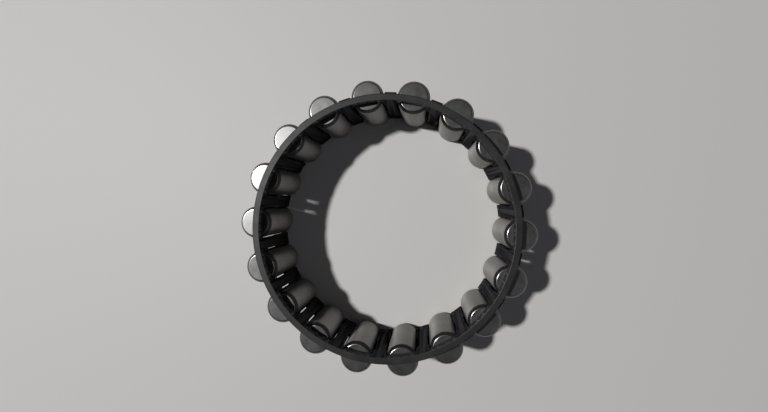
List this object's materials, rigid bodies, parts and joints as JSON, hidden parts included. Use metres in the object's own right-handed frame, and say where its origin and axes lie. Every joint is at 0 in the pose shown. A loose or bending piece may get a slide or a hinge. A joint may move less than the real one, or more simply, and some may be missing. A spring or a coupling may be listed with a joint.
{
  "type": "roller one-way clutch insert",
  "caption": "One-way clutch insert: a comb-shaped dark steel cage ring with a closed rim, holding loose cylindrical rollers upright in its pockets.",
  "frame": {"origin": "centre of the ring, on the plane that the crossbar ends and the rollers stand on", "axes": "+Z along the ring's axis, from the open crossbar ends towards the closed rim; +X through the middle of the first pocket"},
  "size_m": [0.11, 0.1086, 0.032],
  "materials": {
    "cage_steel": "black oxide, oiled",
    "roller_steel": "ground bearing steel"
  },
  "bodies": {
    "cage": {"cage": "cage_steel"},
    "roller_01": {"roller_01": "roller_steel"},
    "roller_02": {"roller_02": "roller_steel"},
    "roller_03": {"roller_03": "roller_steel"},
    "roller_04": {"roller_04": "roller_steel"},
    "roller_05": {"roller_05": "roller_steel"},
    "roller_06": {"roller_06": "roller_steel"},
    "roller_07": {"roller_07": "roller_steel"},
    "roller_08": {"roller_08": "roller_steel"},
    "roller_09": {"roller_09": "roller_steel"},
    "roller_10": {"roller_10": "roller_steel"},
    "roller_11": {"roller_11": "roller_steel"},
    "roller_12": {"roller_12": "roller_steel"},
    "roller_13": {"roller_13": "roller_steel"},
    "roller_14": {"roller_14": "roller_steel"},
    "roller_15": {"roller_15": "roller_steel"},
    "roller_16": {"roller_16": "roller_steel"},
    "roller_17": {"roller_17": "roller_steel"},
    "roller_18": {"roller_18": "roller_steel"}
  },
  "joints": [
    {"name": "roller_01_spin", "type": "hinge", "parent": "cage", "child": "roller_01", "pos_m": [0.049, 0, 0.014], "axis": [0, 0, 1], "continuous": true},
    {"name": "roller_02_spin", "type": "hinge", "parent": "cage", "child": "roller_02", "pos_m": [0.04605, 0.01676, 0.014], "axis": [0, 0, 1], "continuous": true},
    {"name": "roller_03_spin", "type": "hinge", "parent": "cage", "child": "roller_03", "pos_m": [0.03754, 0.0315, 0.014], "axis": [0, 0, 1], "continuous": true},
    {"name": "roller_04_spin", "type": "hinge", "parent": "cage", "child": "roller_04", "pos_m": [0.0245, 0.04244, 0.014], "axis": [0, 0, 1], "continuous": true},
    {"name": "roller_05_spin", "type": "hinge", "parent": "cage", "child": "roller_05", "pos_m": [0.00851, 0.04826, 0.014], "axis": [0, 0, 1], "continuous": true},
    {"name": "roller_06_spin", "type": "hinge", "parent": "cage", "child": "roller_06", "pos_m": [-0.00851, 0.04826, 0.014], "axis": [0, 0, 1], "continuous": true},
    {"name": "roller_07_spin", "type": "hinge", "parent": "cage", "child": "roller_07", "pos_m": [-0.0245, 0.04244, 0.014], "axis": [0, 0, 1], "continuous": true},
    {"name": "roller_08_spin", "type": "hinge", "parent": "cage", "child": "roller_08", "pos_m": [-0.03754, 0.0315, 0.014], "axis": [0, 0, 1], "continuous": true},
    {"name": "roller_09_spin", "type": "hinge", "parent": "cage", "child": "roller_09", "pos_m": [-0.04605, 0.01676, 0.014], "axis": [0, 0, 1], "continuous": true},
    {"name": "roller_10_spin", "type": "hinge", "parent": "cage", "child": "roller_10", "pos_m": [-0.049, 0, 0.014], "axis": [0, 0, 1], "continuous": true},
    {"name": "roller_11_spin", "type": "hinge", "parent": "cage", "child": "roller_11", "pos_m": [-0.04605, -0.01676, 0.014], "axis": [0, 0, 1], "continuous": true},
    {"name": "roller_12_spin", "type": "hinge", "parent": "cage", "child": "roller_12", "pos_m": [-0.03754, -0.0315, 0.014], "axis": [0, 0, 1], "continuous": true},
    {"name": "roller_13_spin", "type": "hinge", "parent": "cage", "child": "roller_13", "pos_m": [-0.0245, -0.04244, 0.014], "axis": [0, 0, 1], "continuous": true},
    {"name": "roller_14_spin", "type": "hinge", "parent": "cage", "child": "roller_14", "pos_m": [-0.00851, -0.04826, 0.014], "axis": [0, 0, 1], "continuous": true},
    {"name": "roller_15_spin", "type": "hinge", "parent": "cage", "child": "roller_15", "pos_m": [0.00851, -0.04826, 0.014], "axis": [0, 0, 1], "continuous": true},
    {"name": "roller_16_spin", "type": "hinge", "parent": "cage", "child": "roller_16", "pos_m": [0.0245, -0.04244, 0.014], "axis": [0, 0, 1], "continuous": true},
    {"name": "roller_17_spin", "type": "hinge", "parent": "cage", "child": "roller_17", "pos_m": [0.03754, -0.0315, 0.014], "axis": [0, 0, 1], "continuous": true},
    {"name": "roller_18_spin", "type": "hinge", "parent": "cage", "child": "roller_18", "pos_m": [0.04605, -0.01676, 0.014], "axis": [0, 0, 1], "continuous": true}
  ]
}
